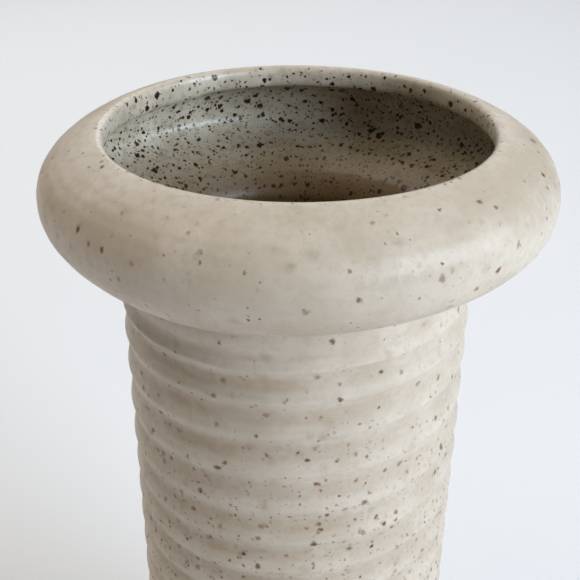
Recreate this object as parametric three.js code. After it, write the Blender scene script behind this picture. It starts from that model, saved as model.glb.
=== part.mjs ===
// Stoneware vase: a wheel-thrown ribbed cylinder with a heavy hollow rolled collar.
// Millimetres, +Z up, origin at the centre of the face that the foot ring stands on.
//
// Every piece is a solid of revolution about Z. One section outline, the glazed surface from the
// foot over the collar and lip and down to the middle of the inside floor, drives them all: the
// glaze coats lie under it, and the clay lies under the glaze.
import * as THREE from 'three';

// Driving dimensions
const HEIGHT = 280;              // ground to the crown of the collar
const COLLAR_RADIUS = 75;        // widest circle of the collar
const CROWN_RADIUS = 57.2;       // circle along the top of the collar, where the two glazes meet
const CROWN_LAND = 0.5;          // level strip to each side of that circle
const MOUTH_RADIUS = 55.6;       // narrowest circle of the lip
const HOLLOW_RADIUS = 69.3;      // widest circle of the hollow inside the collar
const NECK_RADIUS = 53.6;        // throwing rings' crests under the collar
const BASE_RADIUS = 52.6;        // throwing rings' crests just above the base
const BORE_RADIUS = 47;          // inside of the cylinder
const FLOOR_LEVEL = 14.7;        // glazed inside floor
const RING_PITCH = 11.7;         // one throwing ring to the next
const RING_DEPTH = 0.9;          // crest to valley
const GLAZE_THICKNESS = 0.7;
const HAIRLINE = 0.05;           // between two pieces that touch
const SLIP_THICKNESS = 0.5;      // room for the slip between two luted pieces
const SEGMENTS = 32;             // facets around the vase
const CURVE_STEPS = 5;           // facets along each curved stretch of the section

// Heights that follow from them
const WIDEST_LEVEL = HEIGHT - 16.4;
const HOLLOW_LEVEL = WIDEST_LEVEL - 4;           // where the hollow is widest
const CREASE_LEVEL = HEIGHT - 38.0;      // where the collar's underside meets the neck
const CREASE_RADIUS = NECK_RADIUS;
const TOP_CREST_LEVEL = HEIGHT - 50.4;   // highest throwing ring
const LIP_THICKNESS = 7.1;
const CEILING_LEVEL = HEIGHT - LIP_THICKNESS;    // highest level inside the collar

// Joints between the clay pieces
const COLLAR_JOINT_LEVEL = CREASE_LEVEL - 1.2;   // shoulder of the collar, just under the crease
const SPIGOT_LENGTH = 6;                         // the collar plugs this far into the cylinder
const SPIGOT_RADIUS = 50.2;
const THROAT_LEVEL = COLLAR_JOINT_LEVEL - SPIGOT_LENGTH + 1.5;  // the bore's upright part starts here
const FLOOR_JOINT_LEVEL = 12;                    // rim of the floor that the cylinder stands on
const FLOOR_SPIGOT_RADIUS = 47.2;                // raised middle of the floor, inside the cylinder

// Base and foot
const GLAZE_LINE_LEVEL = 8;      // the outer glaze stops here, clear of the kiln shelf
const GLAZE_LINE_RADIUS = 47.6;
const BEVEL_TOP_LEVEL = 20;      // the trimmed bevel of the base runs up to here
const FLOOR_UNDERSIDE = 6;
const FLOOR_UNDERSIDE_RADIUS = 46.7;
const FOOT_OUTER_RADIUS = 46;
const FOOT_INNER_RADIUS = 39.5;
const FOOT_CHAMFER = 0.8;

const point = (radius, level) => new THREE.Vector2(radius, level);

// Where the lip's rounded underside turns level and the collar's ceiling starts
const lipUnderside = point(MOUTH_RADIUS + 2.2, CEILING_LEVEL);

// Points along a cubic curve of the section, without its first point.
function curve(start, startHandle, endHandle, end, steps = CURVE_STEPS) {
  return new THREE.CubicBezierCurve(start, startHandle, endHandle, end).getPoints(steps).slice(1);
}

// The base's trimmed bevel: a parabola that turns upright at the cylinder.
function bevelRadius(level) {
  const left = (BEVEL_TOP_LEVEL - level) / (BEVEL_TOP_LEVEL - GLAZE_LINE_LEVEL);
  return BASE_RADIUS - RING_DEPTH - (BASE_RADIUS - RING_DEPTH - GLAZE_LINE_RADIUS) * left ** 2;
}

// Crests of the throwing rings lie on a cylinder that widens slightly towards the collar.
function crestRadius(level) {
  const rise = (level - BEVEL_TOP_LEVEL) / (TOP_CREST_LEVEL - BEVEL_TOP_LEVEL);
  return BASE_RADIUS + (NECK_RADIUS - BASE_RADIUS) * rise;
}

// The bevel breaks at the joint between floor and cylinder, and once more above it.
function baseStretch() {
  const seamTop = FLOOR_JOINT_LEVEL + SLIP_THICKNESS;
  const aboveSeam = (seamTop + BEVEL_TOP_LEVEL) / 2;
  const levels = [GLAZE_LINE_LEVEL, FLOOR_JOINT_LEVEL, seamTop, aboveSeam, BEVEL_TOP_LEVEL];
  return levels.map((level) => point(bevelRadius(level), level));
}

// Throwing rings, each a crest and the valley above it.
function ringStretch() {
  const rings = Math.floor((TOP_CREST_LEVEL - BEVEL_TOP_LEVEL) / RING_PITCH);
  const points = [];
  for (let ring = rings; ring >= 0; ring -= 1) {
    const crest = TOP_CREST_LEVEL - ring * RING_PITCH;
    const valley = crest + RING_PITCH / 2;
    points.push(point(crestRadius(crest), crest));
    points.push(point(crestRadius(valley) - RING_DEPTH, valley));
  }
  return points;
}

// The upright strip between the top ring and the crease, with the collar's joint behind it.
function neckStretch() {
  const bottom = COLLAR_JOINT_LEVEL - 4 * SLIP_THICKNESS;
  const levels = [bottom, COLLAR_JOINT_LEVEL - SLIP_THICKNESS, COLLAR_JOINT_LEVEL, CREASE_LEVEL];
  return levels.map((level) => point(CREASE_RADIUS, level));
}

// The collar's outside: sloping out of the crease, upright at the widest circle, level at the crown.
function collarStretch() {
  const crease = point(CREASE_RADIUS, CREASE_LEVEL);
  const creaseHandle = point(CREASE_RADIUS + 17.8, CREASE_LEVEL + 8.3);
  const belowWidest = point(COLLAR_RADIUS, WIDEST_LEVEL - 7.7);
  const widest = point(COLLAR_RADIUS, WIDEST_LEVEL);
  const aboveWidest = point(COLLAR_RADIUS, WIDEST_LEVEL + 11.2);
  const outsideCrown = point(CROWN_RADIUS + 3, HEIGHT);
  const land = point(CROWN_RADIUS + CROWN_LAND, HEIGHT);
  return [
    ...curve(crease, creaseHandle, belowWidest, widest),
    ...curve(widest, aboveWidest, outsideCrown, land),
    point(CROWN_RADIUS, HEIGHT),
  ];
}

// The lip, rolled over its narrowest circle, and its underside.
function lipStretch() {
  const land = point(CROWN_RADIUS - CROWN_LAND, HEIGHT);
  const insideCrown = point(MOUTH_RADIUS + 0.4, HEIGHT);
  const aboveNose = point(MOUTH_RADIUS, HEIGHT - 0.7);
  const nose = point(MOUTH_RADIUS, HEIGHT - 2.6);
  const belowNose = point(MOUTH_RADIUS, HEIGHT - 5.6);
  const outsideNose = point(MOUTH_RADIUS + 0.6, CEILING_LEVEL);
  return [
    point(CROWN_RADIUS - HAIRLINE, HEIGHT),
    land,
    ...curve(land, insideCrown, aboveNose, nose, 3),
    ...curve(nose, belowNose, outsideNose, lipUnderside, 2),
  ];
}

// The collar's inside: level under the lip, upright at its widest, sloping down into the throat.
function hollowStretch() {
  const ceilingHandle = point(MOUTH_RADIUS + 8.6, CEILING_LEVEL);
  const aboveWidest = point(HOLLOW_RADIUS, HOLLOW_LEVEL + 7.6);
  const widest = point(HOLLOW_RADIUS, HOLLOW_LEVEL);
  const belowWidest = point(HOLLOW_RADIUS, HOLLOW_LEVEL - 4.4);
  const aboveSlope = point(BORE_RADIUS + 13.6, CREASE_LEVEL + 10.6);
  const slope = point(BORE_RADIUS + 7.6, CREASE_LEVEL + 5.8);
  const belowSlope = point(BORE_RADIUS + 3.6, CREASE_LEVEL + 2.6);
  const aboveThroat = point(BORE_RADIUS, CREASE_LEVEL - 1.5);
  const throat = point(BORE_RADIUS, THROAT_LEVEL);
  return [
    ...curve(lipUnderside, ceilingHandle, aboveWidest, widest),
    ...curve(widest, belowWidest, aboveSlope, slope),
    ...curve(slope, belowSlope, aboveThroat, throat, 4),
  ];
}

// The inside of the cylinder, from the throat down to the corner of the floor.
function boreStretch() {
  const spigotEnd = COLLAR_JOINT_LEVEL - SPIGOT_LENGTH;
  const levels = [spigotEnd, spigotEnd - SLIP_THICKNESS, FLOOR_LEVEL];
  return levels.map((level) => point(BORE_RADIUS, level));
}

// The section's surface moved under itself by a distance, with mitred corners.
function sunk(outline, distance) {
  const normal = (from, to) => {
    const along = to.clone().sub(from).normalize();
    return point(along.y, -along.x);
  };
  return outline.map((here, index) => {
    const before = index > 0 ? normal(outline[index - 1], here) : normal(here, outline[index + 1]);
    const after = index < outline.length - 1 ? normal(here, outline[index + 1]) : before;
    const mitre = before.clone().add(after).divideScalar(1 + before.dot(after));
    return here.clone().addScaledVector(mitre, -distance);
  });
}

// A closed outline turned about Z, with its faces pointing out. An outline that touches the axis
// has one edge on it, and the turning starts and ends there.
function turned(outline) {
  const loop = THREE.ShapeUtils.isClockWise(outline) ? [...outline].reverse() : outline;
  const axisEdgeEnd = (corner, index) => corner.x === 0 && loop.at(index - 1).x === 0;
  const onAxis = loop.some((corner) => corner.x === 0);
  const start = onAxis ? loop.findIndex(axisEdgeEnd) : 0;
  const ordered = [...loop.slice(start), ...loop.slice(0, start)];
  const closed = onAxis ? ordered : [...ordered, ordered[0]];
  return new THREE.LatheGeometry(closed, SEGMENTS).rotateX(Math.PI / 2);
}

const CLAY = { color: 0xb79c80, roughness: 0.9, metalness: 0 };
const SLIP = { color: 0x9d866c, roughness: 0.95, metalness: 0 };
const MATT_GLAZE = { color: 0xc0b5a2, roughness: 0.55, metalness: 0 };
const GLOSS_LINER = { color: 0x8d8773, roughness: 0.25, metalness: 0 };

function piece(name, outline, finish) {
  const mesh = new THREE.Mesh(turned(outline), new THREE.MeshStandardMaterial(finish));
  mesh.name = name;
  return mesh;
}

// The whole glazed section, and the indices at which one piece hands over to the next
const base = baseStretch();
const rings = ringStretch();
const neck = neckStretch();
const collarSide = collarStretch();
const lip = lipStretch();
const hollow = hollowStretch();
const bore = boreStretch();
const floorMiddle = point(0, FLOOR_LEVEL);
const surface = [...base, ...rings, ...neck, ...collarSide, ...lip, ...hollow, ...bore, floorMiddle];
const crownIndex = base.length + rings.length + neck.length + collarSide.length - 1;
const wallTopIndex = base.length + rings.length + 1;
const spigotEndIndex = crownIndex + lip.length + hollow.length + 1;
const cornerIndex = surface.length - 2;

const glazeBack = sunk(surface, GLAZE_THICKNESS);
const clay = sunk(surface, GLAZE_THICKNESS + HAIRLINE);

function outerGlaze() {
  const outside = surface.slice(0, crownIndex + 1);
  const back = glazeBack.slice(0, crownIndex + 1).reverse();
  return piece('outer_glaze', [...outside, ...back], MATT_GLAZE);
}

function linerGlaze() {
  const outside = surface.slice(crownIndex + 1);
  const back = glazeBack.slice(crownIndex + 1).reverse();
  return piece('liner_glaze', [...outside, ...back], GLOSS_LINER);
}

function collarPiece() {
  const shoulder = clay[wallTopIndex + 1].y;
  const spigotEnd = clay[spigotEndIndex];
  const outline = [
    ...clay.slice(wallTopIndex + 1, spigotEndIndex + 1),
    point(SPIGOT_RADIUS, spigotEnd.y),
    point(SPIGOT_RADIUS, shoulder),
  ];
  return piece('collar', outline, CLAY);
}

function collarSlipSeam() {
  const outer = clay[wallTopIndex].x;
  const inner = clay[spigotEndIndex].x;
  const shoulder = clay[wallTopIndex + 1].y;
  const foot = clay[spigotEndIndex].y;
  const gap = SLIP_THICKNESS - HAIRLINE;
  const outline = [
    point(outer, shoulder - gap),
    point(outer, shoulder - HAIRLINE),
    point(SPIGOT_RADIUS + HAIRLINE, shoulder - HAIRLINE),
    point(SPIGOT_RADIUS + HAIRLINE, foot - HAIRLINE),
    point(inner, foot - HAIRLINE),
    point(inner, foot - gap),
    point(SPIGOT_RADIUS + gap, foot - gap),
    point(SPIGOT_RADIUS + gap, shoulder - gap),
  ];
  return piece('collar_slip_seam', outline, SLIP);
}

function bodyWall() {
  const outside = clay.slice(2, wallTopIndex + 1);
  const rebateRadius = SPIGOT_RADIUS + SLIP_THICKNESS;
  const ledge = clay[spigotEndIndex + 1];
  const outline = [
    ...outside,
    point(rebateRadius, outside.at(-1).y),
    point(rebateRadius, ledge.y),
    ledge,
    point(ledge.x, outside[0].y),
  ];
  return piece('body_wall', outline, CLAY);
}

function floorSlipSeam() {
  const below = clay[1];
  const above = clay[2];
  const inner = FLOOR_SPIGOT_RADIUS + HAIRLINE;
  const bore = clay[cornerIndex].x - HAIRLINE;
  const outline = [
    point(below.x, below.y + HAIRLINE),
    point(above.x, above.y - HAIRLINE),
    point(bore, above.y - HAIRLINE),
    point(bore, clay[cornerIndex].y),
    point(inner, clay[cornerIndex].y),
    point(inner, below.y + HAIRLINE),
  ];
  return piece('floor_slip_seam', outline, SLIP);
}

function floorDisc() {
  const rim = clay[1];
  const top = clay[cornerIndex].y;
  const outline = [
    point(0, FLOOR_UNDERSIDE),
    point(FLOOR_UNDERSIDE_RADIUS, FLOOR_UNDERSIDE),
    clay[0],
    rim,
    point(FLOOR_SPIGOT_RADIUS, rim.y),
    point(FLOOR_SPIGOT_RADIUS, top),
    point(0, top),
  ];
  return piece('floor_disc', outline, CLAY);
}

function footSlipSeam() {
  const bottom = FLOOR_UNDERSIDE - SLIP_THICKNESS + HAIRLINE;
  const top = FLOOR_UNDERSIDE - HAIRLINE;
  const outline = [
    point(FOOT_INNER_RADIUS, bottom),
    point(FOOT_OUTER_RADIUS, bottom),
    point(FOOT_OUTER_RADIUS, top),
    point(FOOT_INNER_RADIUS, top),
  ];
  return piece('foot_slip_seam', outline, SLIP);
}

function footRing() {
  const top = FLOOR_UNDERSIDE - SLIP_THICKNESS;
  const outline = [
    point(FOOT_INNER_RADIUS + FOOT_CHAMFER, 0),
    point(FOOT_OUTER_RADIUS - FOOT_CHAMFER, 0),
    point(FOOT_OUTER_RADIUS, FOOT_CHAMFER),
    point(FOOT_OUTER_RADIUS, top),
    point(FOOT_INNER_RADIUS, top),
    point(FOOT_INNER_RADIUS, FOOT_CHAMFER),
  ];
  return piece('foot_ring', outline, CLAY);
}

const vase = new THREE.Group();
vase.add(footRing(), footSlipSeam(), floorDisc(), floorSlipSeam(), bodyWall());
vase.add(collarSlipSeam(), collarPiece(), linerGlaze(), outerGlaze());

export default vase;
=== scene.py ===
"""The looks of a wheel-thrown stoneware vase with a hollow rolled collar, around its CAD frame."""

import math

import bmesh
import bpy
import numpy as np
from mathutils import Matrix, Vector


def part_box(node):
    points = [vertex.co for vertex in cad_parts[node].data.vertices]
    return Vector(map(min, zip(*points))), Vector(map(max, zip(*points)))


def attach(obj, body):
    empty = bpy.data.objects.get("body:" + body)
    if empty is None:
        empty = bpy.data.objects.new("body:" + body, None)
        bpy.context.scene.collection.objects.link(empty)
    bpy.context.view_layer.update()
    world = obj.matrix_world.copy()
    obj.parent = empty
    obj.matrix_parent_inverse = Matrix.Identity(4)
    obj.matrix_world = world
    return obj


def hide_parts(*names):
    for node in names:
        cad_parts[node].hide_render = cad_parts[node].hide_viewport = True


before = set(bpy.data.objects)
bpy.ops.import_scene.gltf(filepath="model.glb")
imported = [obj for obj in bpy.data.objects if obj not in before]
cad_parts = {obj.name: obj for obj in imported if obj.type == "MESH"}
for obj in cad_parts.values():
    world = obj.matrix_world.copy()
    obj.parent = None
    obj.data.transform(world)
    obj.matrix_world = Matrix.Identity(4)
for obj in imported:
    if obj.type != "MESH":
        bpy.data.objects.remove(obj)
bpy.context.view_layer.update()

MM = 0.001
TURN = 2 * math.pi

# Sizes that follow from the frame, in millimetres
OUTER_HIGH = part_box("outer_glaze")[1] / MM
FOOT_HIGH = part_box("foot_ring")[1] / MM
FLOOR_LOW, FLOOR_HIGH = (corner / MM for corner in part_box("floor_disc"))
COLLAR_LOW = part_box("collar")[0] / MM

HEIGHT = OUTER_HIGH.z
COLLAR_RADIUS = OUTER_HIGH.y
FOOT_RADIUS = FOOT_HIGH.y
GLAZE = 0.7                       # thickness of a glaze coat
HAIRLINE = 0.05                   # between two pieces that touch
CLAY_DEPTH = GLAZE + HAIRLINE
SLIP = 0.5                        # room for the slip between two luted pieces

# The section's circles, in millimetres
CROWN_RADIUS = COLLAR_RADIUS - 17.8   # along the top of the collar, where the two glazes meet
MOUTH_RADIUS = COLLAR_RADIUS - 19.4   # narrowest circle of the lip
HOLLOW_RADIUS = COLLAR_RADIUS - 5.7   # widest circle of the hollow inside the collar
NECK_RADIUS = COLLAR_RADIUS - 21.4    # crests of the throwing rings under the collar
CREASE_RADIUS = NECK_RADIUS           # where the collar's underside meets the neck
BASE_RADIUS = NECK_RADIUS - 1         # crests of the throwing rings above the base
BORE_RADIUS = NECK_RADIUS - 6.6       # inside of the cylinder
SPIGOT_RADIUS = NECK_RADIUS - 3.4     # the collar's plug in the cylinder
GLAZE_LINE_RADIUS = NECK_RADIUS - 6
FLOOR_UNDERSIDE_RADIUS = NECK_RADIUS - 6.9
FLOOR_SPIGOT_RADIUS = BORE_RADIUS + 0.2
FOOT_BORE = FOOT_RADIUS - 6.5

# And its levels
WIDEST_LEVEL = HEIGHT - 16.4
HOLLOW_LEVEL = WIDEST_LEVEL - 4       # where the hollow is widest
CEILING_LEVEL = HEIGHT - 7.1          # highest level inside the collar
CREASE_LEVEL = HEIGHT - 38.0
SHOULDER_LEVEL = CREASE_LEVEL - 1.2   # the collar sits on the cylinder here
TOP_CREST_LEVEL = HEIGHT - 50.4       # highest throwing ring
SPIGOT_END = COLLAR_LOW.z
THROAT_LEVEL = SPIGOT_END + 1.5       # the bore is upright below here
FLOOR_LEVEL = FLOOR_HIGH.z + CLAY_DEPTH
FLOOR_JOINT = 12                      # rim of the floor that the cylinder stands on
FLOOR_FILLET = 5
GLAZE_LINE = 8
BEVEL_TOP = GLAZE_LINE + 12
FLOOR_UNDERSIDE = FLOOR_LOW.z
FOOT_TOP = FOOT_HIGH.z
FOOT_CHAMFER = 1.0
SOFTENING = 0.6                   # how far a corner of the section is rubbed round

# The thrower's hand
RING_PITCH = 11.7                 # the rings are one spiral, which climbs this far in a turn
RING_DEPTH = 1.4
RING_DRIFT = 0.29                 # how far, in rings, the spacing strays under the collar
LINES_PER_RING = 4                # fine finger lines
INNER_PITCH = 9.5                 # finger marks inside
INNER_DEPTH = 0.16
OVALITY = 0.0016
LIP_WAVE = 0.45
CREASE_WANDER = 0.7               # how far the line under the collar strays up and down
LIP_HANG = 0.9                    # how much lower the far lip hangs along one stretch
EDGE_ROLL = 1.3                   # length of the glaze's rounded lower edge
COLLAR_OFFSET = 0.45              # the collar sits this far off the cylinder's axis

# Marks of trimming on the foot
TRIM_PITCH = 2.3
TRIM_DEPTH = 0.12

SHARP_ANGLE = 38                  # edges bent by more degrees than this shade as sharp
AROUND = 192                      # facets around the vase
FINE = 0.85                       # facet length along a visible surface
COARSE = 3.0                      # and along a hidden one


# ---- The section -------------------------------------------------------------------------------

def fade(value, start, end):
    """0 before start, 1 after end, and smooth between them."""
    share = np.clip((value - start) / (end - start), 0, 1)
    return share * share * (3 - 2 * share)


def line(start, end):
    """Points along a straight stretch of the section, without its last one."""
    share = np.linspace(0, 1, 100, endpoint=False)[:, None]
    return np.array(start) * (1 - share) + np.array(end) * share


def curve(start, start_handle, end_handle, end):
    """Points along a cubic curve of the section, without its last one."""
    share = np.linspace(0, 1, 200, endpoint=False)[:, None]
    rest = 1 - share
    return (np.array(start) * rest ** 3 + np.array(start_handle) * 3 * share * rest ** 2
            + np.array(end_handle) * 3 * share ** 2 * rest + np.array(end) * share ** 3)


def bevel():
    """The trimmed bevel of the base: a parabola that turns upright at the cylinder."""
    levels = np.linspace(GLAZE_LINE, BEVEL_TOP, 100, endpoint=False)
    top_radius = BASE_RADIUS - RING_DEPTH / 2
    left = (BEVEL_TOP - levels) / (BEVEL_TOP - GLAZE_LINE)
    return np.stack([top_radius - (top_radius - GLAZE_LINE_RADIUS) * left ** 2, levels], 1)


def cylinder():
    """Through the crests of the throwing rings, up to the collar."""
    top = (NECK_RADIUS, TOP_CREST_LEVEL)
    return [
        line((BASE_RADIUS - RING_DEPTH / 2, BEVEL_TOP), (BASE_RADIUS, BEVEL_TOP + 4)),
        line((BASE_RADIUS, BEVEL_TOP + 4), top),
        line(top, (CREASE_RADIUS, CREASE_LEVEL)),
    ]


def collar_outside():
    """Sloping out of the crease, upright at the widest circle and level at the crown."""
    widest = (COLLAR_RADIUS, WIDEST_LEVEL)
    crown = (CROWN_RADIUS, HEIGHT)
    return [
        curve((CREASE_RADIUS, CREASE_LEVEL), (CREASE_RADIUS + 17.8, CREASE_LEVEL + 8.3),
              (COLLAR_RADIUS, WIDEST_LEVEL - 7.7), widest),
        curve(widest, (COLLAR_RADIUS, WIDEST_LEVEL + 11.2), (CROWN_RADIUS + 2.6, HEIGHT), crown),
    ]


def lip():
    """Rolled over its narrowest circle, down to the level ceiling of the hollow."""
    crown = (CROWN_RADIUS, HEIGHT)
    nose = (MOUTH_RADIUS, HEIGHT - 2.6)
    underside = (MOUTH_RADIUS + 2.2, CEILING_LEVEL)
    return [
        curve(crown, (MOUTH_RADIUS + 0.7, HEIGHT), (MOUTH_RADIUS, HEIGHT - 0.8), nose),
        curve(nose, (MOUTH_RADIUS, HEIGHT - 6), (MOUTH_RADIUS + 0.4, CEILING_LEVEL), underside),
    ]


def hollow():
    """Level under the lip, upright at its widest, and sloping down into the throat."""
    underside = (MOUTH_RADIUS + 2.2, CEILING_LEVEL)
    widest = (HOLLOW_RADIUS, HOLLOW_LEVEL)
    slope = (BORE_RADIUS + 7.6, CREASE_LEVEL + 5.8)
    throat = (BORE_RADIUS, THROAT_LEVEL)
    return [
        curve(underside, (MOUTH_RADIUS + 8.6, CEILING_LEVEL),
              (HOLLOW_RADIUS, HOLLOW_LEVEL + 7.6), widest),
        curve(widest, (HOLLOW_RADIUS, HOLLOW_LEVEL - 4.4),
              (BORE_RADIUS + 13.6, CREASE_LEVEL + 10.6), slope),
        curve(slope, (BORE_RADIUS + 3.6, CREASE_LEVEL + 2.6),
              (BORE_RADIUS, CREASE_LEVEL - 1.5), throat),
    ]


def bore_and_floor():
    """Down the cylinder, round the corner and along the floor to its middle."""
    fillet_start = (BORE_RADIUS, FLOOR_LEVEL + FLOOR_FILLET)
    fillet_end = (BORE_RADIUS - FLOOR_FILLET, FLOOR_LEVEL)
    handle = 0.45 * FLOOR_FILLET
    return [
        line((BORE_RADIUS, THROAT_LEVEL), fillet_start),
        curve(fillet_start, (BORE_RADIUS, FLOOR_LEVEL + handle),
              (BORE_RADIUS - handle, FLOOR_LEVEL), fillet_end),
        line(fillet_end, (0, FLOOR_LEVEL)),
        np.array([[0.0, FLOOR_LEVEL]]),
    ]


def along_line(points):
    """Length of the line from its start to each of its points."""
    return np.concatenate([[0], np.cumsum(np.hypot(*np.diff(points, axis=0).T))])


def rubbed(points, step=0.1):
    """The line with its corners rubbed round, in even steps. Its two ends stay in place."""
    length = along_line(points)
    even = np.linspace(0, length[-1], round(length[-1] / step))
    points = np.stack([np.interp(even, length, column) for column in points.T], 1)
    reach = round(3 * SOFTENING / step)
    weights = np.exp(-0.5 * (np.arange(-reach, reach + 1) * step / SOFTENING) ** 2)
    weights /= weights.sum()
    before = 2 * points[0] - points[reach:0:-1]
    after = 2 * points[-1] - points[-2:-reach - 2:-1]
    padded = np.concatenate([before, points, after])
    return np.stack([np.convolve(column, weights, "valid") for column in padded.T], 1)


# The glazed surface, from the glaze line over the collar and lip to the middle of the floor, as
# points, with their lengths and directions along it
STRETCHES = [bevel(), *cylinder(), *collar_outside(), *lip(), *hollow(), *bore_and_floor()]
SECTION = rubbed(np.concatenate(STRETCHES))
LENGTH = along_line(SECTION)
DIRECTION = np.gradient(SECTION, LENGTH, axis=0)
DIRECTION /= np.hypot(*DIRECTION.T)[:, None]

# Places along it: the lip's narrowest circle, the crown, and the middle of the floor
LIP_RADII = np.where(SECTION[:, 1] > CEILING_LEVEL, SECTION[:, 0], np.inf)
NOSE = LENGTH[int(np.argmin(LIP_RADII))]
CROWN = LENGTH[int(np.argmax(SECTION[:, 1]))]
END = LENGTH[-1]


def outside_at(level):
    """The place along the section where the outside of the vase reaches a level."""
    return float(np.interp(level, SECTION[LENGTH < CROWN, 1], LENGTH[LENGTH < CROWN]))


def bore_at(level):
    """The place along the section where the bore reaches a level on the way down."""
    bore = (LENGTH > NOSE + 30) & (SECTION[:, 1] > FLOOR_LEVEL + 0.5)
    return float(np.interp(-level, -SECTION[bore, 1], LENGTH[bore]))


def places(start, end, spacing):
    """Even places from start to end, at most a spacing apart."""
    return np.linspace(start, end, math.ceil((end - start) / spacing) + 1)


# ---- The thrower's hand ------------------------------------------------------------------------

def ring_phase(level, around):
    """Counts the throwing rings downwards from the top one: whole numbers are crests."""
    below = TOP_CREST_LEVEL - level
    drift = RING_DRIFT * np.sin(TURN * below / 83.5) * np.exp(-np.abs(below) / 47)
    wander = 0.030 * np.sin(2 * around + level / 40) + 0.022 * np.sin(3 * around - level / 17 + 1)
    return below / RING_PITCH + drift + around / TURN + wander


def scallops(phase):
    """1 on narrow crests and 0 in the middle of the wide hollows between them."""
    waves = sum(np.cos(TURN * n * phase) / n ** 2 for n in (1, 2, 3, 4))
    return 1 / 3 + waves * 4 / math.pi ** 2


def ring_weight(level):
    """The rings run out in the trimmed bevel below and under the collar."""
    above_bevel = fade(level, BEVEL_TOP - 4, BEVEL_TOP + 6)
    under_collar = fade(level, CREASE_LEVEL - 13, CREASE_LEVEL - 3)
    return above_bevel * (1 - under_collar)


def cylinder_relief(level, around):
    """The throwing rings, some deeper than others, with fine finger lines and shallow dents."""
    phase = ring_phase(level, around)
    unevenness = (0.20 * np.sin(level / 19 + 1) + 0.12 * np.sin(around + level / 31)
                  + 0.08 * np.sin(3 * around - level / 13))
    rings = RING_DEPTH * (1 + unevenness) * (scallops(phase) - 1)
    lines = 0.030 * np.sin(TURN * LINES_PER_RING * phase) * (1 + 0.6 * np.sin(5 * around + level / 7))
    finer = 0.016 * np.sin(TURN * 2 * LINES_PER_RING * phase + 1)
    lines += finer * (1 + 0.6 * np.sin(7 * around - level / 5))
    dents = 0.07 * np.sin(3 * around + level / 9) * np.sin(level / 13 + 2 * around)
    return (rings + lines + dents) * ring_weight(level)


def collar_relief(place, around):
    """Soft swells that run out at the crease and on the crown."""
    crease = outside_at(CREASE_LEVEL)
    weight = fade(place, crease, crease + 12) * (1 - fade(place, CROWN - 8, CROWN))
    swells = 0.14 * np.sin(2 * around + place / 11) + 0.10 * np.sin(3 * around - place / 8 + 2)
    swells += 0.05 * np.sin(5 * around + place / 5) + 0.035 * np.sin(TURN * place / 4.1 + around)
    return swells * weight


def inside_relief(place, around):
    """Finger marks in the hollow and down the bore, as a spiral that runs out on the lip and floor."""
    phase = (place - CROWN) / INNER_PITCH + around / TURN + 0.05 * np.sin(2 * around + 1)
    depth = INNER_DEPTH * (1 + 0.3 * np.sin(place / 17) + 0.2 * np.sin(2 * around + place / 21))
    fine = 0.025 * np.sin(TURN * LINES_PER_RING * phase)
    weight = fade(place, NOSE + 5, NOSE + 15) * (1 - fade(place, END - 50, END - 38))
    return (depth * (scallops(phase) - 1) + fine) * weight


def relief(place, around):
    """How far the thrown surface stands off the section, along its normal."""
    level = np.interp(place, LENGTH, SECTION[:, 1])
    outside = cylinder_relief(level, around) + collar_relief(place, around)
    return np.where(place < CROWN, outside, inside_relief(place, around))


def lip_step(around):
    """A stretch of the far lip that hangs a little lower, with a quick start and a slow end."""
    degrees = np.degrees(around)
    return fade(degrees, -149, -143) * (1 - fade(degrees, -125, -92))


def shape(radius, level, place, around):
    """Points of the vase, in metres, with its slight ovalness, wavy lip and set-off collar."""
    raised = fade(level, CREASE_LEVEL, HEIGHT)
    oval = 1 + OVALITY * np.cos(2 * (around - 0.7))
    wave = LIP_WAVE * (np.sin(around) + 0.35 * np.sin(2 * around + 0.5) + 0.25 * np.sin(3 * around + 2.0))
    near_crease = np.exp(-((level - CREASE_LEVEL - 2) / 7) ** 2)
    wander = CREASE_WANDER * (0.85 * np.sin(around) + np.sin(3 * around) - 0.55 * np.cos(2 * around))
    hang = fade(place, NOSE - 1, NOSE + 2.5) * (1 - fade(place, NOSE + 5, NOSE + 12))
    x = radius * oval * np.sin(around) + COLLAR_OFFSET * raised
    y = -radius * oval * np.cos(around)
    z = level + wave * raised + wander * near_crease - LIP_HANG * lip_step(around) * hang
    return np.stack(np.broadcast_arrays(x, y, z), -1) * MM


# From -Y towards +X
ANGLES = np.linspace(-math.pi, math.pi, AROUND, endpoint=False)[None, :]


def layer(place, depth):
    """Rows of points around the vase, a depth under the glazed surface."""
    place = np.asarray(place, float)[:, None]
    radius, level = (np.interp(place, LENGTH, column) for column in SECTION.T)
    along_r, along_z = (np.interp(place, LENGTH, column) for column in DIRECTION.T)
    offset = relief(place, ANGLES) - np.broadcast_to(depth, len(place))[:, None]
    return shape(np.maximum(radius + along_z * offset, 0), level - along_r * offset, place, ANGLES)


def rings(*corners):
    """Rows of points around the vase at the given radii and levels."""
    radius, level = (np.array(column, float)[:, None] for column in zip(*corners))
    return shape(radius, level, np.zeros_like(level), ANGLES)


# Places that every hidden layer has its rows at, so that the layers stay apart
HIDDEN_PLACES = places(0, END, COARSE)


def hidden_places(start, end):
    """The shared places from start to end, and those two."""
    between = (HIDDEN_PLACES > start + 0.5) & (HIDDEN_PLACES < end - 0.5)
    return np.concatenate([[start], HIDDEN_PLACES[between], [end]])


# ---- Bodies ------------------------------------------------------------------------------------

def outline_shares(rows, shown):
    """Where each row lies along its piece's outline, from 0 to 1, with the hidden part squeezed."""
    steps = np.linalg.norm(np.roll(rows[:, 0], -1, axis=0) - rows[:, 0], axis=1)
    steps *= np.where(shown & np.roll(shown, -1), 1, 0.04)
    return np.concatenate([[0], np.cumsum(steps)]) / steps.sum()


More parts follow.
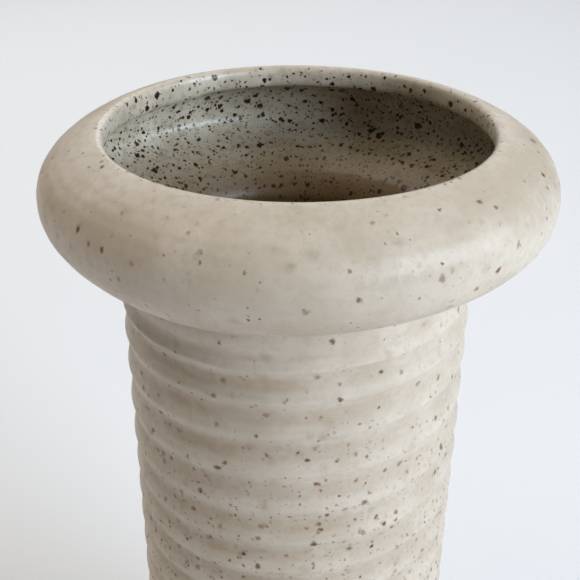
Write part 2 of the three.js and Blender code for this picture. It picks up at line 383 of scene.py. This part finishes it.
def weld_axis(mesh):
    """Merges each row that has shrunk to a point on the axis."""
    body = bmesh.new()
    body.from_mesh(mesh)
    on_axis = [vertex for vertex in body.verts if vertex.co.xy.length < 1e-6]
    bmesh.ops.remove_doubles(body, verts=on_axis, dist=1e-6)
    body.to_mesh(mesh)
    body.free()


def turned(name, *parts, **marks):
    """A closed body from parts of its outline, each as rows of points around the vase and whether
    they are seen. The rows go round the outline anticlockwise, and an outline that touches the axis
    starts and ends there. Marks are values at the points of a seen part, for the materials."""
    rows = np.concatenate([part for part, _ in parts])
    shown = np.concatenate([np.full(len(part), seen) for part, seen in parts])
    count = len(rows)
    on_axis = np.abs(rows[0, :, :2]).max() < 1e-6
    last = count - 1 if on_axis else count
    row, column = np.meshgrid(np.arange(last), np.arange(AROUND), indexing="ij")
    row_after = (row + 1) % count
    column_after = (column + 1) % AROUND
    corners = [(row, column), (row, column_after), (row_after, column_after), (row_after, column)]
    quads = np.stack([r * AROUND + c for r, c in corners], -1).reshape(-1, 4)
    mesh = bpy.data.meshes.new(name)
    mesh.from_pydata(rows.reshape(-1, 3).tolist(), [], quads.tolist())

    share = outline_shares(rows, shown)
    u = np.stack([column, column + 1, column + 1, column], -1) / AROUND
    v = np.stack([share[row], share[row], share[row + 1], share[row + 1]], -1)
    unwrapped = mesh.uv_layers.new(name="OFBake")
    unwrapped.data.foreach_set("uv", np.stack([u, v], -1).astype(np.float32).ravel())
    for mark, values in marks.items():
        over_all = np.zeros((count, AROUND), np.float32)
        over_all[shown] = values
        mesh.attributes.new(mark, "FLOAT", "POINT").data.foreach_set("value", over_all.ravel())
    weld_axis(mesh)
    mesh.shade_smooth()
    mesh.set_sharp_from_angle(angle=math.radians(SHARP_ANGLE))
    body = bpy.data.objects.new(name, mesh)
    bpy.context.scene.collection.objects.link(body)
    return body


def finish_piece(body, material, node):
    """The body in its material, standing for a CAD node."""
    body.data.materials.append(material)
    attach(body, "root")
    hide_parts(node)


# ---- The two glazes ----------------------------------------------------------------------------

# The mark of a throwing ring's crest is 1, and that of the hollow below it is 0
NEITHER_CREST_NOR_HOLLOW = 0.5


def inwards_of_crown(place):
    """How far a place lies inwards of the crown, in millimetres. Far from it the value stays level."""
    return np.clip(place - CROWN, -20, 90)[:, None]


def edge_depth(place):
    """The outer glaze ends in a rounded edge at the glaze line."""
    left = np.clip(1 - place / EDGE_ROLL, 0, 0.98)
    return GLAZE * (1 - np.sqrt(1 - left ** 2))


def outer_glaze_coat(material):
    shown = places(0, CROWN, FINE)
    hidden = hidden_places(0, CROWN)[::-1]
    level = np.interp(shown, LENGTH, SECTION[:, 1])[:, None]
    ring = scallops(ring_phase(level, ANGLES)) - NEITHER_CREST_NOR_HOLLOW
    crest = NEITHER_CREST_NOR_HOLLOW + ring * ring_weight(level)
    body = turned(
        "outer_glaze_coat",
        (layer(shown, edge_depth(shown)), True),
        (layer(hidden, GLAZE), False),
        crest=crest,
        past_crown=inwards_of_crown(shown),
    )
    finish_piece(body, material, "outer_glaze")


def liner_glaze_coat(material):
    shown = places(CROWN, END, FINE)
    hidden = hidden_places(CROWN, END - 1.3 * BORE_RADIUS)[::-1]
    body = turned(
        "liner_glaze_coat",
        (rings((0, FLOOR_LEVEL - GLAZE), (BORE_RADIUS + GLAZE, FLOOR_LEVEL - GLAZE)), False),
        (layer(hidden, GLAZE), False),
        (layer(shown, 0), True),
        crest=NEITHER_CREST_NOR_HOLLOW,
        past_crown=inwards_of_crown(shown),
    )
    finish_piece(body, material, "liner_glaze")


# ---- The clay and its slip ---------------------------------------------------------------------

def clay_radius(place):
    """Mean radius of the clay under the glaze."""
    return float(np.hypot(*layer([place], CLAY_DEPTH)[0, :, :2].T).mean() / MM)


def clay_level(place):
    """Mean level of the clay under the glaze."""
    return float(layer([place], CLAY_DEPTH)[0, :, 2].mean() / MM)


def collar_clay(material):
    under_glaze = hidden_places(outside_at(SHOULDER_LEVEL), bore_at(SPIGOT_END))
    body = turned(
        "collar_clay",
        (layer(under_glaze, CLAY_DEPTH), False),
        (rings((SPIGOT_RADIUS, SPIGOT_END), (SPIGOT_RADIUS, SHOULDER_LEVEL)), False),
    )
    finish_piece(body, material, "collar")


def collar_slip(material):
    outer = clay_radius(outside_at(SHOULDER_LEVEL - SLIP))
    inner = clay_radius(bore_at(SPIGOT_END))
    gap = SLIP - HAIRLINE
    body = turned("collar_slip", (rings(
        (outer, SHOULDER_LEVEL - gap),
        (outer, SHOULDER_LEVEL - HAIRLINE),
        (SPIGOT_RADIUS + HAIRLINE, SHOULDER_LEVEL - HAIRLINE),
        (SPIGOT_RADIUS + HAIRLINE, SPIGOT_END - HAIRLINE),
        (inner, SPIGOT_END - HAIRLINE),
        (inner, SPIGOT_END - gap),
        (SPIGOT_RADIUS + gap, SPIGOT_END - gap),
        (SPIGOT_RADIUS + gap, SHOULDER_LEVEL - gap),
    ), False))
    finish_piece(body, material, "collar_slip_seam")


def wall_clay(material):
    outside = hidden_places(outside_at(FLOOR_JOINT + SLIP), outside_at(SHOULDER_LEVEL - SLIP))
    ledge = SPIGOT_END - SLIP
    rebate = SPIGOT_RADIUS + SLIP
    inside = hidden_places(bore_at(ledge), bore_at(FLOOR_LEVEL + FLOOR_FILLET))
    body = turned(
        "wall_clay",
        (layer(outside, CLAY_DEPTH), False),
        (rings((rebate, clay_level(outside[-1])), (rebate, ledge)), False),
        (layer(inside, CLAY_DEPTH), False),
        (rings((BORE_RADIUS + CLAY_DEPTH, clay_level(outside[0]))), False),
    )
    finish_piece(body, material, "body_wall")


def floor_slip(material):
    outer = clay_radius(outside_at(FLOOR_JOINT))
    bottom = clay_level(outside_at(FLOOR_JOINT)) + HAIRLINE
    top = clay_level(outside_at(FLOOR_JOINT + SLIP)) - HAIRLINE
    inner = FLOOR_SPIGOT_RADIUS + HAIRLINE
    bore = BORE_RADIUS + CLAY_DEPTH - HAIRLINE
    body = turned("floor_slip", (rings(
        (outer, bottom),
        (outer, top),
        (bore, top),
        (bore, FLOOR_LEVEL - CLAY_DEPTH),
        (inner, FLOOR_LEVEL - CLAY_DEPTH),
        (inner, bottom),
    ), False))
    finish_piece(body, material, "floor_slip_seam")


def floor_underside():
    """The trimmed hollow inside the foot ring: slightly domed, with the tool's spiral in it."""
    radius = places(0, FLOOR_UNDERSIDE_RADIUS, 0.6)[:, None]
    inside_foot = 1 - fade(radius, FOOT_BORE - 3, FOOT_BORE)
    spiral = radius / TRIM_PITCH - ANGLES / TURN
    groove = TRIM_DEPTH * (1 - scallops(spiral)) * fade(radius, 1, 6)
    level = FLOOR_UNDERSIDE + inside_foot * (groove + 0.5 * (1 - (radius / FOOT_BORE) ** 2))
    return shape(radius, level, 0, ANGLES)


def floor_clay(material):
    under_glaze = places(0, outside_at(FLOOR_JOINT), COARSE)
    rim = clay_level(under_glaze[-1])
    body = turned(
        "floor_clay",
        (floor_underside(), True),
        (layer(under_glaze, CLAY_DEPTH), True),
        (rings((FLOOR_SPIGOT_RADIUS, rim), (FLOOR_SPIGOT_RADIUS, FLOOR_LEVEL - CLAY_DEPTH),
               (0, FLOOR_LEVEL - CLAY_DEPTH)), False),
    )
    finish_piece(body, material, "floor_disc")


def foot_slip(material):
    """A fillet that flares from the foot ring towards the floor."""
    middle = (FOOT_TOP + FLOOR_UNDERSIDE) / 2
    outer = FOOT_RADIUS - HAIRLINE
    inner = FOOT_BORE + HAIRLINE
    flare = 0.3
    flare_halfway = 0.12
    body = turned("foot_slip", (rings(
        (inner, FOOT_TOP),
        (outer, FOOT_TOP),
        (outer + flare_halfway, middle),
        (outer + flare, FLOOR_UNDERSIDE),
        (inner - flare, FLOOR_UNDERSIDE),
        (inner - flare_halfway, middle),
    ), True))
    finish_piece(body, material, "foot_slip_seam")


def foot_outline():
    """The foot ring's section, anticlockwise from the outer end of the face that it stands on."""
    bend = np.linspace(0, math.pi / 2, 6)
    back = FOOT_CHAMFER * (1 - np.sin(bend))
    up = FOOT_CHAMFER * (1 - np.cos(bend))
    levels = np.linspace(FOOT_CHAMFER, FOOT_TOP, 9)[1:-1]
    outer_groove = TRIM_DEPTH * np.sin(levels * 2.6) ** 2
    inner_groove = TRIM_DEPTH * np.sin(levels * 2.1) ** 2
    face = np.linspace(FOOT_BORE + FOOT_CHAMFER, FOOT_RADIUS - FOOT_CHAMFER, 10)[1:-1]
    return [
        *zip(FOOT_RADIUS - back, up),
        *zip(FOOT_RADIUS - outer_groove, levels),
        (FOOT_RADIUS, FOOT_TOP),
        (FOOT_BORE, FOOT_TOP),
        *zip((FOOT_BORE + inner_groove)[::-1], levels[::-1]),
        *zip(FOOT_BORE + up, back),
        *zip(face, np.zeros_like(face)),
    ]


def foot_clay(material):
    """The foot ring, with rounded edges and the marks of trimming."""
    body = turned("foot_clay", (rings(*foot_outline()), True))
    finish_piece(body, material, "foot_ring")


# ---- Materials ---------------------------------------------------------------------------------

# Scattered specks: the balls' mean radius, and the cells' size, both as shares of the largest radius
MEAN_BALL = 0.59
CELL_PER_RADIUS = 2.2

# Between these distances inwards of the crown the outside glaze turns into the inside one
COLOUR_TURNS = (-4, 9)
SPECKS_TURN = (-2.5, 2)
GLOSS_TURNS = (-4, 4)

# Levels between which the specks outside get denser
FEW_SPECKS_LEVEL = HEIGHT - 35
MANY_SPECKS_LEVEL = HEIGHT - 130


def srgb(red, green, blue):
    """A colour given in the 0 to 255 values of a screen."""
    shares = [value / 255 for value in (red, green, blue)]
    return (*(v / 12.92 if v <= 0.04045 else ((v + 0.055) / 1.055) ** 2.4 for v in shares), 1)


class Paint:
    """The nodes of one material, joined by short calls. Lengths are in millimetres."""

    def __init__(self, name):
        self.material = bpy.data.materials.new(name)
        self.material.use_nodes = True
        self.tree = self.material.node_tree
        self.shader = self.tree.nodes["Principled BSDF"]
        self.here = self.add("TexCoord").outputs["Object"]

    def add(self, kind, inputs=(), **settings):
        node = self.tree.nodes.new("ShaderNode" + kind)
        for setting, value in settings.items():
            setattr(node, setting, value)
        for socket, value in dict(inputs).items():
            self.give(node.inputs[socket], value)
        return node

    def give(self, socket, value):
        if isinstance(value, bpy.types.NodeSocket):
            self.tree.links.new(value, socket)
        else:
            socket.default_value = value

    def math(self, operation, first, second=0.0):
        return self.add("Math", {0: first, 1: second}, operation=operation).outputs[0]

    def product(self, *values):
        result = values[0]
        for value in values[1:]:
            result = self.math("MULTIPLY", result, value)
        return result

    def vector(self, operation, first, second):
        return self.add("VectorMath", {0: first, 1: second}, operation=operation).outputs[0]

    def span(self, value, start, end, at_start=0.0, at_end=1.0):
        """Follows value smoothly from start to end, and stays level outside them."""
        inputs = {"Value": value, "From Min": start, "From Max": end, "To Min": at_start, "To Max": at_end}
        return self.add("MapRange", inputs, interpolation_type="SMOOTHSTEP").outputs["Result"]

    def mix(self, share, first, second):
        return self.add("Mix", {0: share, 6: first, 7: second}, data_type="RGBA").outputs[2]

    def noise(self, size, detail=2.0, roughness=0.5, shift=0.0):
        """Soft cloudy values around 0.5, in patches of about a size."""
        place = self.vector("ADD", self.here, (shift, -shift, shift / 2))
        inputs = {"Vector": place, "Scale": 1 / (size * MM), "Detail": detail, "Roughness": roughness}
        return self.add("TexNoise", inputs).outputs["Fac"]

    def mark(self, name):
        """A value that the body has at each of its points."""
        return self.add("Attribute", attribute_name=name).outputs["Fac"]

    def along(self, axis):
        """The place along X, Y or Z, with Z the height above the ground."""
        return self.math("MULTIPLY", self.add("SeparateXYZ", {0: self.here}).outputs[axis], 1 / MM)

    def shaken(self, size, reach):
        """The place on the piece, pushed about so that round spots turn irregular."""
        noise = self.add("TexNoise", {"Vector": self.here, "Scale": 1 / (size * MM), "Detail": 1.5})
        centred = self.vector("SUBTRACT", noise.outputs["Color"], (0.5, 0.5, 0.5))
        scaled = self.add("VectorMath", {0: centred, "Scale": reach * MM}, operation="SCALE").outputs[0]
        return self.vector("ADD", self.here, scaled)

    def specks(self, place, radius, per_cm2, faintness=0.5, softness=0.5, shift=0.0):
        """Spots up to a radius, scattered through the glaze. They are balls in some of the cells of
        a 3-D scatter, and the surface cuts through them."""
        spacing = CELL_PER_RADIUS * radius
        if_all_cells = 100 * 2 * MEAN_BALL * radius / spacing ** 3
        share = self.math("MULTIPLY", per_cm2, 1 / if_all_cells)
        moved = self.vector("ADD", place, (shift, shift * 0.7, -shift * 0.4))
        cells = self.add("TexVoronoi", {"Vector": moved, "Scale": 1 / (spacing * MM)})
        away = self.math("MULTIPLY", cells.outputs["Distance"], spacing)
        chance = self.add("SeparateColor", {0: cells.outputs["Color"]})
        rarely_large = self.math("POWER", chance.outputs["Green"], 2.0)
        size = self.span(rarely_large, 0, 1, 0.4 * radius, radius)
        core = self.math("MULTIPLY", size, 1 - softness)
        spot = self.span(away, size, core)
        strength = self.span(chance.outputs["Blue"], 0, 1, 1 - faintness, 1.0)
        present = self.math("LESS_THAN", chance.outputs["Red"], share)
        return self.product(spot, strength, present)

    def largest(self, *values):
        found = values[0]
        for value in values[1:]:
            found = self.math("MAXIMUM", found, value)
        return found

    def bump(self, height, reach, normal=None):
        """Fine relief: reach is how far, in millimetres, a height of 1 stands out."""
        inputs = {"Height": height, "Distance": reach * MM, "Strength": 1.0}
        node = self.add("Bump", inputs)
        if normal is not None:
            self.give(node.inputs["Normal"], normal)
        return node.outputs["Normal"]


def outside_colour(paint, clouds, mottle):
    """Pale beige, browner in the hollows of the rings, where glaze pools and painted shade lies, with more
    painted shade towards -X, the side turned from the window, and lighter on the crests, partly a painted
    highlight.
    """
    crest = paint.mark("crest")
    patches = paint.noise(9, 3, 0.6, shift=0.9)
    colour = paint.mix(paint.span(clouds, 0.35, 0.65), srgb(191, 176, 158), srgb(202, 188, 172))
    colour = paint.mix(paint.span(mottle, 0.42, 0.68, 0, 0.35), colour, srgb(178, 163, 142))
    # Browner in the hollows of the rings: partly glaze that pools there, partly painted shade, with more
    # painted shade towards -X, away from the window
    in_hollows = paint.span(crest, 0.4, 0)
    in_patches = paint.span(patches, 0.36, 0.62, 0.5, 1)
    painted_shade_to_minus_x = paint.span(paint.along("X"), 40, -40, 0.2, 0.8)
    pooled_glaze_and_painted_shade = paint.product(in_hollows, in_patches, painted_shade_to_minus_x)
    colour = paint.mix(pooled_glaze_and_painted_shade, colour, srgb(163, 141, 115))
    # Lighter on the crests of the rings: partly thinner glaze there, partly a painted highlight
    return paint.mix(paint.span(crest, 0.5, 1, 0, 0.15), colour, srgb(220, 211, 196))


def inside_colour(paint, clouds, mottle, past_crown):
    """Olive-grey in the collar, and darker brown down the bore, which is painted shade deep inside the
    vase.
    """
    colour = paint.mix(paint.span(clouds, 0.35, 0.65), srgb(176, 167, 149), srgb(194, 186, 170))
    colour = paint.mix(paint.span(mottle, 0.45, 0.7, 0, 0.5), colour, srgb(136, 115, 84))
    # Darker brown further down the bore: painted shade where little light reaches
    return paint.mix(paint.span(past_crown, 27, 60, 0, 0.85), colour, srgb(112, 84, 42))


def down_cylinder(paint, above, below):
    """A value that changes from one at the collar to another low on the cylinder."""
    down = paint.span(paint.along("Z"), FEW_SPECKS_LEVEL, MANY_SPECKS_LEVEL)
    return paint.span(down, 0, 1, above, below)


def with_stains(paint, colour, place, outside_share, inside_share):
    """The colour with soft brown stains under the spots: wide blooms and small freckles outside,
    and wide halos inside."""
    blooms = paint.specks(place, 2.8, 1.3, faintness=0.5, softness=0.95, shift=0.4)
    how_many = down_cylinder(paint, 3, 9)
    freckles = paint.specks(place, 0.9, how_many, faintness=0.8, softness=0.8, shift=0.9)
    halos = paint.specks(place, 2.2, 1.5, faintness=0.2, softness=0.95, shift=0.5)
    colour = paint.mix(paint.product(blooms, outside_share, 0.35), colour, srgb(130, 110, 78))
    colour = paint.mix(paint.product(freckles, outside_share, 0.4), colour, srgb(134, 106, 70))
    return paint.mix(paint.product(halos, inside_share, 0.4), colour, srgb(100, 68, 34))


def with_outside_specks(paint, colour, place, share):
    """The colour with faded iron spots on a share of it, which get denser down the cylinder, and
    the strength of the spots."""
    how_many_large = down_cylinder(paint, 0.5, 1.2)
    how_many_medium = down_cylinder(paint, 0.9, 4.6)
    how_many_small = down_cylinder(paint, 0.6, 9.5)
    large = paint.specks(place, 1.6, how_many_large, faintness=0.4, softness=0.7, shift=0.1)
    medium = paint.specks(place, 1.3, how_many_medium, faintness=0.5, softness=0.7, shift=0.2)
    small = paint.specks(place, 0.9, how_many_small, faintness=0.6, softness=0.75, shift=0.3)
    spots = paint.largest(large, medium, paint.product(small, 0.8))
    iron = paint.mix(large, srgb(108, 72, 32), srgb(70, 42, 18))
    return paint.mix(paint.product(spots, share), colour, iron), spots


def with_inside_specks(paint, colour, place, share, past_crown):
    """The colour with dense dark spots in rusty rims on a share of it, and the strength of the
    spots. They start on the crown and are all there under the lip."""
    def growing_to(per_cm2):
        return paint.span(past_crown, -5, 16, 0.25 * per_cm2, per_cm2)

    large = paint.specks(place, 1.5, growing_to(2.3), faintness=0.05, softness=0.5, shift=0.5)
    medium = paint.specks(place, 1.0, growing_to(8.5), faintness=0.1, softness=0.55, shift=0.6)
    small = paint.specks(place, 0.68, growing_to(22), faintness=0.2, softness=0.6, shift=0.7)
    fine = paint.specks(place, 0.6, growing_to(16), faintness=0.4, softness=0.7, shift=0.8)
    spots = paint.largest(large, medium, small)
    rust = paint.span(paint.largest(spots, fine), 0, 0.35)
    core = paint.span(spots, 0.25, 0.6)
    colour = paint.mix(paint.product(rust, share, 0.7), colour, srgb(112, 70, 26))
    return paint.mix(paint.product(core, share), colour, srgb(26, 14, 5)), spots


def glazed_stoneware(name):
    """Stoneware glaze over speckled clay. Across the crown and the lip it turns from the pale satin
    matt of the outside to the speckled olive-grey gloss of the inside."""
    paint = Paint(name)
    past_crown = paint.mark("past_crown")
    clouds = paint.noise(16, 3, 0.5)
    mottle = paint.noise(2.2, 3, 0.65, shift=0.3)
    grain = paint.noise(0.55, 2, 0.6, shift=0.7)

    inside = paint.span(past_crown, *COLOUR_TURNS)
    outer = outside_colour(paint, clouds, mottle)
    inner = inside_colour(paint, clouds, mottle, past_crown)
    colour = paint.mix(inside, outer, inner)

    place = paint.shaken(1.3, 1.5)
    speckled = paint.span(past_crown, *SPECKS_TURN)
    plain = paint.math("SUBTRACT", 1.0, speckled)
    colour = with_stains(paint, colour, place, plain, speckled)
    colour, outside_spots = with_outside_specks(paint, colour, place, plain)
    colour, inside_spots = with_inside_specks(paint, colour, place, speckled, past_crown)
    paint.give(paint.shader.inputs["Base Color"], colour)

    glossy = paint.span(past_crown, *GLOSS_TURNS)
    matt_roughness = paint.span(mottle, 0.3, 0.7, 0.39, 0.48)
    gloss_roughness = paint.span(mottle, 0.3, 0.7, 0.38, 0.46)
    matt_part = paint.product(matt_roughness, paint.math("SUBTRACT", 1.0, glossy))
    roughness = paint.math("ADD", matt_part, paint.product(gloss_roughness, glossy))
    paint.give(paint.shader.inputs["Roughness"], roughness)

    sunken_spots = paint.product(paint.largest(outside_spots, inside_spots), 0.3)
    fine_relief = paint.math("SUBTRACT", grain, sunken_spots)
    normal = paint.bump(paint.noise(5, 2, 0.5, shift=1.1), 0.14)
    normal = paint.bump(fine_relief, 0.022, normal)
    paint.give(paint.shader.inputs["Normal"], normal)
    return paint.material


def matt_glaze():
    material = glazed_stoneware("matt_glaze")
    shader = material.node_tree.nodes["Principled BSDF"]
    shader.inputs["Specular IOR Level"].default_value = 0.42
    return material


def gloss_liner():
    material = glazed_stoneware("gloss_liner")
    shader = material.node_tree.nodes["Principled BSDF"]
    shader.inputs["Specular IOR Level"].default_value = 0.35
    shader.inputs["Coat Weight"].default_value = 0.45
    shader.inputs["Coat Roughness"].default_value = 0.32
    return material


def bare_clay():
    """Toasted unglazed stoneware: buff, gritty, and darker near the glaze."""
    paint = Paint("bare_clay")
    clouds = paint.noise(9, 4, 0.55)
    grit = paint.noise(0.5, 3, 0.7, shift=0.4)
    colour = paint.mix(paint.span(clouds, 0.35, 0.65), srgb(176, 142, 108), srgb(192, 160, 126))
    toasted = paint.span(paint.along("Z"), GLAZE_LINE - 5, GLAZE_LINE, 0, 0.55)
    colour = paint.mix(toasted, colour, srgb(142, 98, 62))
    colour = paint.mix(paint.span(grit, 0.45, 0.75, 0, 0.45), colour, srgb(128, 98, 70))
    place = paint.shaken(1.2, 0.4)
    iron = paint.specks(place, 0.4, 14, faintness=0.5, softness=0.5, shift=0.9)
    pale_grog = paint.specks(place, 0.35, 16, faintness=0.5, softness=0.4, shift=1.3)
    colour = paint.mix(paint.product(pale_grog, 0.5), colour, srgb(214, 190, 158))
    colour = paint.mix(paint.product(iron, 0.8), colour, srgb(64, 42, 26))
    paint.give(paint.shader.inputs["Base Color"], colour)
    paint.shader.inputs["Roughness"].default_value = 0.88
    normal = paint.bump(paint.math("ADD", grit, pale_grog), 0.07)
    paint.give(paint.shader.inputs["Normal"], normal)
    return paint.material


def joint_slip():
    """Slip that has been fired in a joint and wiped: like the clay, but finer and darker."""
    paint = Paint("joint_slip")
    grit = paint.noise(0.7, 2, 0.6)
    colour = paint.mix(paint.span(grit, 0.3, 0.7), srgb(150, 116, 84), srgb(166, 132, 100))
    paint.give(paint.shader.inputs["Base Color"], colour)
    paint.shader.inputs["Roughness"].default_value = 0.92
    paint.give(paint.shader.inputs["Normal"], paint.bump(grit, 0.04))
    return paint.material


# ---- Floor, light and camera -------------------------------------------------------------------

def pale_floor():
    """A plain square, large enough to fill the picture behind the vase."""
    paint = Paint("pale_floor")
    paint.shader.inputs["Base Color"].default_value = srgb(232, 232, 235)
    paint.shader.inputs["Roughness"].default_value = 0.6
    reach = 3.0
    corners = [(-reach, -reach, 0), (reach, -reach, 0), (reach, reach, 0), (-reach, reach, 0)]
    mesh = bpy.data.meshes.new("floor")
    mesh.from_pydata(corners, [], [(0, 1, 2, 3)])
    mesh.materials.append(paint.material)
    floor = bpy.data.objects.new("floor", mesh)
    bpy.context.scene.collection.objects.link(floor)


def area_light(name, azimuth, elevation, distance, width, height, power, colour):
    """A soft rectangle of light that faces the collar. Its azimuth is in degrees from -Y towards
    +X, its lengths are in metres and its power is in watts."""
    light = bpy.data.lights.new(name, "AREA")
    light.shape = "RECTANGLE"
    light.size = width
    light.size_y = height
    light.energy = power
    light.color = colour
    azimuth = math.radians(azimuth)
    elevation = math.radians(elevation)
    level_part = math.cos(elevation)
    towards = Vector((math.sin(azimuth) * level_part, -math.cos(azimuth) * level_part, math.sin(elevation)))
    placed = bpy.data.objects.new(name, light)
    placed.location = Vector((0, 0, WIDEST_LEVEL * MM)) + towards * distance
    placed.rotation_euler = towards.to_track_quat("Z", "Y").to_euler()
    placed.visible_camera = False
    bpy.context.scene.collection.objects.link(placed)


def room_light():
    """Bluish daylight from a low window, and what the back wall, the ceiling and the room return."""
    area_light("window", azimuth=60, elevation=20, distance=1.8, width=1.45, height=0.85,
               power=45, colour=(0.75, 0.875, 1.0))
    area_light("back_wall", azimuth=-165, elevation=32, distance=1.9, width=3.2, height=1.6,
               power=28, colour=(0.92, 0.97, 1.0))
    area_light("ceiling", azimuth=0, elevation=90, distance=2.2, width=2.6, height=2.6,
               power=7, colour=(1.0, 0.93, 0.82))
    area_light("room", azimuth=-85, elevation=62, distance=2.0, width=1.6, height=1.2,
               power=11.5, colour=(1.0, 0.91, 0.78))
    world = bpy.data.worlds.new("surroundings")
    world.use_nodes = True
    background = world.node_tree.nodes["Background"]
    background.inputs["Color"].default_value = (1.0, 0.84, 0.62, 1)
    background.inputs["Strength"].default_value = 0.10
    bpy.context.scene.world = world


def camera():
    """Looks down on the collar from close by, from the -Y side. Its place is in millimetres."""
    behind_axis = 271.6
    above_widest = 110.4
    data = bpy.data.cameras.new("camera")
    data.lens = 61.5
    data.sensor_width = 36
    data.clip_start = 0.01
    camera_object = bpy.data.objects.new("camera", data)
    # Turns in radians: down, to the side, and about the line of view
    pitch = 0.5010
    yaw = -0.0070
    roll = 0.0055
    level_part = math.cos(pitch)
    forward = Vector((math.sin(yaw) * level_part, math.cos(yaw) * level_part, -math.sin(pitch)))
    level_right = forward.cross(Vector((0, 0, 1))).normalized()
    level_up = level_right.cross(forward)
    right = level_right * math.cos(roll) + level_up * math.sin(roll)
    up = right.cross(forward)
    rotation = Matrix((right, up, -forward)).transposed()
    place = Vector((0, -behind_axis, WIDEST_LEVEL + above_widest)) * MM
    camera_object.matrix_world = Matrix.Translation(place) @ rotation.to_4x4()
    bpy.context.scene.collection.objects.link(camera_object)
    bpy.context.scene.camera = camera_object


def make_vase():
    clay = bare_clay()
    slip = joint_slip()
    foot_clay(clay)
    foot_slip(slip)
    floor_clay(clay)
    floor_slip(slip)
    wall_clay(clay)
    collar_slip(slip)
    collar_clay(clay)
    liner_glaze_coat(gloss_liner())
    outer_glaze_coat(matt_glaze())


make_vase()
pale_floor()
room_light()
camera()
bpy.context.scene.view_settings.view_transform = "Standard"
